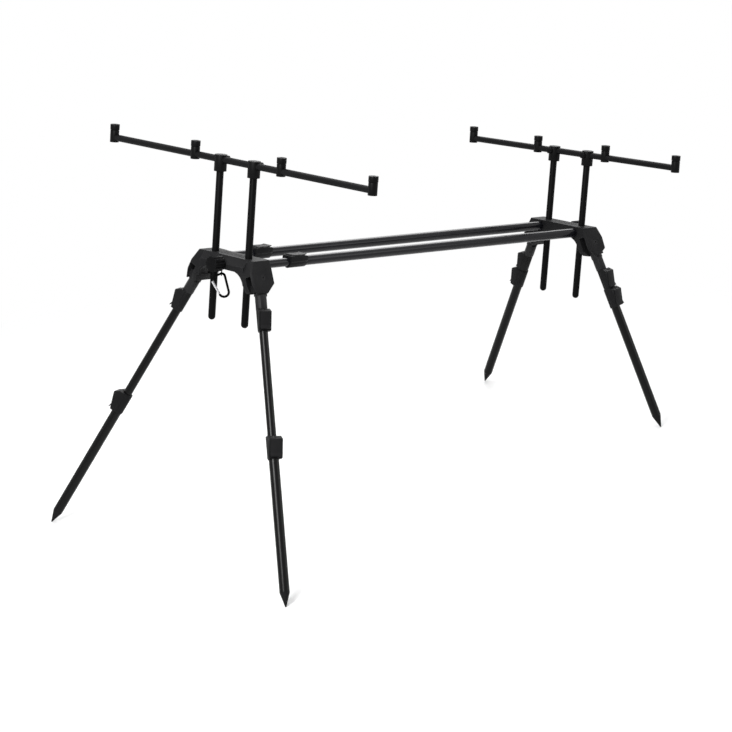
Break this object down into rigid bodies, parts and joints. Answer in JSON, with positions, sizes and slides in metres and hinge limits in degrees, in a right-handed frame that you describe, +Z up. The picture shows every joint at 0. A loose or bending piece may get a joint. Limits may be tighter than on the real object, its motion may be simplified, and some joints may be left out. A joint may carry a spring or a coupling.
{
  "type": "rod pod",
  "caption": "Black telescopic fishing rod pod: canted folding legs with flip locks and spikes, paired main bars, sliding posts and buzz bars with alarm sockets.",
  "frame": {"origin": "ground under the middle of the pod's outline, on the plane of the four spike points", "axes": "+X from the front (wide) end to the rear end, +Y to the left seen from the front, +Z up"},
  "size_m": [1.4178, 0.831, 0.8688],
  "materials": {
    "head_plastic": "fine moulded grain, satin",
    "lock_plastic": "fine moulded grain, satin",
    "tube_black": "black anodised, satin",
    "bar_black": "black anodised, semi-gloss",
    "socket_black": "black anodised, satin, knurled ring",
    "hook_black": "black lacquer, gloss",
    "steel": "bright, brushed",
    "bolt_steel": "black oxide"
  },
  "bodies": {
    "front_frame": {"front_head": "head_plastic", "inner_bars": "bar_black", "front_pivot_bolts": "bolt_steel", "hook_eye": "steel"},
    "rear_frame": {"rear_head": "head_plastic", "outer_bars": "bar_black", "bar_locks": "lock_plastic", "rear_pivot_bolts": "bolt_steel"},
    "left_bar_lever": {"left_bar_lever": "lock_plastic"},
    "right_bar_lever": {"right_bar_lever": "lock_plastic"},
    "front_rest": {"front_posts": "tube_black", "front_bar_clamps": "lock_plastic", "front_clamp_screws": "lock_plastic", "front_buzz_bar": "tube_black", "front_alarm_sockets": "socket_black"},
    "front_clamp_knob": {"front_clamp_knob": "head_plastic"},
    "front_left_leg": {"front_left_knuckle": "lock_plastic", "front_left_inner_tube": "tube_black"},
    "front_left_leg_middle": {"front_left_middle_tube": "tube_black", "front_left_upper_lock": "lock_plastic"},
    "front_left_leg_lower": {"front_left_lower_tube": "tube_black", "front_left_lower_lock": "lock_plastic", "front_left_spike": "lock_plastic"},
    "front_left_upper_lever": {"front_left_upper_lever": "lock_plastic"},
    "front_left_lower_lever": {"front_left_lower_lever": "lock_plastic"},
    "front_right_leg": {"front_right_knuckle": "lock_plastic", "front_right_inner_tube": "tube_black"},
    "front_right_leg_middle": {"front_right_middle_tube": "tube_black", "front_right_upper_lock": "lock_plastic"},
    "front_right_leg_lower": {"front_right_lower_tube": "tube_black", "front_right_lower_lock": "lock_plastic", "front_right_spike": "lock_plastic"},
    "front_right_upper_lever": {"front_right_upper_lever": "lock_plastic"},
    "front_right_lower_lever": {"front_right_lower_lever": "lock_plastic"},
    "rear_rest": {"rear_posts": "tube_black", "rear_bar_clamps": "lock_plastic", "rear_clamp_screws": "lock_plastic", "rear_buzz_bar": "tube_black", "rear_alarm_sockets": "socket_black"},
    "rear_clamp_knob": {"rear_clamp_knob": "head_plastic"},
    "rear_left_leg": {"rear_left_knuckle": "lock_plastic", "rear_left_inner_tube": "tube_black"},
    "rear_left_leg_middle": {"rear_left_middle_tube": "tube_black", "rear_left_upper_lock": "lock_plastic"},
    "rear_left_leg_lower": {"rear_left_lower_tube": "tube_black", "rear_left_lower_lock": "lock_plastic", "rear_left_spike": "lock_plastic"},
    "rear_left_upper_lever": {"rear_left_upper_lever": "lock_plastic"},
    "rear_left_lower_lever": {"rear_left_lower_lever": "lock_plastic"},
    "rear_right_leg": {"rear_right_knuckle": "lock_plastic", "rear_right_inner_tube": "tube_black"},
    "rear_right_leg_middle": {"rear_right_middle_tube": "tube_black", "rear_right_upper_lock": "lock_plastic"},
    "rear_right_leg_lower": {"rear_right_lower_tube": "tube_black", "rear_right_lower_lock": "lock_plastic", "rear_right_spike": "lock_plastic"},
    "rear_right_upper_lever": {"rear_right_upper_lever": "lock_plastic"},
    "rear_right_lower_lever": {"rear_right_lower_lever": "lock_plastic"},
    "hook": {"hook_body": "hook_black"},
    "hook_gate": {"hook_gate": "steel"}
  },
  "joints": [
    {"name": "bar_extend", "type": "slide", "parent": "front_frame", "child": "rear_frame", "axis": [0.9891, 0, -0.147], "range_m": [-0.078, 0.38]},
    {"name": "left_bar_lever_flip", "type": "hinge", "parent": "rear_frame", "child": "left_bar_lever", "pos_m": [-0.34175, 0.0555, 0.62106], "axis": [0, -1, 0], "range_deg": [0, 100]},
    {"name": "right_bar_lever_flip", "type": "hinge", "parent": "rear_frame", "child": "right_bar_lever", "pos_m": [-0.34175, -0.0555, 0.62106], "axis": [0, -1, 0], "range_deg": [0, 100]},
    {"name": "front_rest_lift", "type": "slide", "parent": "front_frame", "child": "front_rest", "axis": [0.147, 0, 0.9891], "range_m": [-0.165, 0.1]},
    {"name": "front_knob_turn", "type": "hinge", "parent": "front_frame", "child": "front_clamp_knob", "pos_m": [-0.4929, 0, 0.62783], "axis": [-0.9891, 0, 0.147], "continuous": true},
    {"name": "front_left_leg_fold", "type": "hinge", "parent": "front_frame", "child": "front_left_leg", "pos_m": [-0.46646, 0.089, 0.60166], "axis": [-0.0621, -0.9063, -0.418], "range_deg": [0, 102.2]},
    {"name": "front_left_leg_middle_slide", "type": "slide", "parent": "front_left_leg", "child": "front_left_leg_middle", "axis": [0.3392, -0.4131, 0.8452], "range_m": [-0.27, 0]},
    {"name": "front_left_leg_lower_slide", "type": "slide", "parent": "front_left_leg_middle", "child": "front_left_leg_lower", "axis": [0.3392, -0.4131, 0.8452], "range_m": [-0.031, 0.231]},
    {"name": "front_left_upper_lever_flip", "type": "hinge", "parent": "front_left_leg_middle", "child": "front_left_upper_lever", "pos_m": [-0.49941, 0.1381, 0.54446], "axis": [0.8936, 0.4223, -0.1523], "range_deg": [0, 100]},
    {"name": "front_left_lower_lever_flip", "type": "hinge", "parent": "front_left_leg_lower", "child": "front_left_lower_lever", "pos_m": [-0.59461, 0.25468, 0.30918], "axis": [0.8936, 0.4223, -0.1523], "range_deg": [0, 100]},
    {"name": "front_right_leg_fold", "type": "hinge", "parent": "front_frame", "child": "front_right_leg", "pos_m": [-0.46646, -0.089, 0.60166], "axis": [0.0621, -0.9063, 0.418], "range_deg": [0, 102.2]},
    {"name": "front_right_leg_middle_slide", "type": "slide", "parent": "front_right_leg", "child": "front_right_leg_middle", "axis": [0.3392, 0.4131, 0.8452], "range_m": [-0.27, 0]},
    {"name": "front_right_leg_lower_slide", "type": "slide", "parent": "front_right_leg_middle", "child": "front_right_leg_lower", "axis": [0.3392, 0.4131, 0.8452], "range_m": [-0.031, 0.231]},
    {"name": "front_right_upper_lever_flip", "type": "hinge", "parent": "front_right_leg_middle", "child": "front_right_upper_lever", "pos_m": [-0.49941, -0.1381, 0.54446], "axis": [-0.8936, 0.4223, 0.1523], "range_deg": [0, 100]},
    {"name": "front_right_lower_lever_flip", "type": "hinge", "parent": "front_right_leg_lower", "child": "front_right_lower_lever", "pos_m": [-0.59461, -0.25468, 0.30918], "axis": [-0.8936, 0.4223, 0.1523], "range_deg": [0, 100]},
    {"name": "rear_rest_lift", "type": "slide", "parent": "rear_frame", "child": "rear_rest", "axis": [0.147, 0, 0.9891], "range_m": [-0.137, 0.13]},
    {"name": "rear_knob_turn", "type": "hinge", "parent": "rear_frame", "child": "rear_clamp_knob", "pos_m": [0.67626, 0, 0.45408], "axis": [-0.9891, 0, 0.147], "continuous": true},
    {"name": "rear_left_leg_fold", "type": "hinge", "parent": "rear_frame", "child": "rear_left_leg", "pos_m": [0.64335, 0.089, 0.43672], "axis": [0.0621, 0.9063, 0.418], "range_deg": [0, 99.8]},
    {"name": "rear_left_leg_middle_slide", "type": "slide", "parent": "rear_left_leg", "child": "rear_left_leg_middle", "axis": [-0.0371, -0.4165, 0.9084], "range_m": [-0.27, 0]},
    {"name": "rear_left_leg_lower_slide", "type": "slide", "parent": "rear_left_leg_middle", "child": "rear_left_leg_lower", "axis": [-0.0371, -0.4165, 0.9084], "range_m": [-0.262, 0]},
    {"name": "rear_left_upper_lever_flip", "type": "hinge", "parent": "rear_left_leg_middle", "child": "rear_left_upper_lever", "pos_m": [0.64755, 0.14036, 0.3726], "axis": [0.9974, -0.0719, 0.0077], "range_deg": [0, 100]},
    {"name": "rear_left_lower_lever_flip", "type": "hinge", "parent": "rear_left_leg_lower", "child": "rear_left_lower_lever", "pos_m": [0.64944, 0.16183, 0.32935], "axis": [0.9974, -0.0719, 0.0077], "range_deg": [0, 100]},
    {"name": "rear_right_leg_fold", "type": "hinge", "parent": "rear_frame", "child": "rear_right_leg", "pos_m": [0.64335, -0.089, 0.43672], "axis": [-0.0621, 0.9063, -0.418], "range_deg": [0, 99.8]},
    {"name": "rear_right_leg_middle_slide", "type": "slide", "parent": "rear_right_leg", "child": "rear_right_leg_middle", "axis": [-0.0371, 0.4165, 0.9084], "range_m": [-0.27, 0]},
    {"name": "rear_right_leg_lower_slide", "type": "slide", "parent": "rear_right_leg_middle", "child": "rear_right_leg_lower", "axis": [-0.0371, 0.4165, 0.9084], "range_m": [-0.262, 0]},
    {"name": "rear_right_upper_lever_flip", "type": "hinge", "parent": "rear_right_leg_middle", "child": "rear_right_upper_lever", "pos_m": [0.64755, -0.14036, 0.3726], "axis": [-0.9974, -0.0719, -0.0077], "range_deg": [0, 100]},
    {"name": "rear_right_lower_lever_flip", "type": "hinge", "parent": "rear_right_leg_lower", "child": "rear_right_lower_lever", "pos_m": [0.64944, -0.16183, 0.32935], "axis": [-0.9974, -0.0719, -0.0077], "range_deg": [0, 100]},
    {"name": "hook_swing", "type": "hinge", "parent": "front_frame", "child": "hook", "pos_m": [-0.48753, 0.007, 0.60207], "axis": [-0.7071, 0.7071, 0], "range_deg": [-50, 20]},
    {"name": "hook_gate_press", "type": "hinge", "parent": "hook", "child": "hook_gate", "pos_m": [-0.49301, 0.01248, 0.55817], "axis": [0.7071, 0.7071, 0], "range_deg": [0, 28], "stiffness_Nm_per_rad": 0.05, "springref_deg": -14.32}
  ]
}
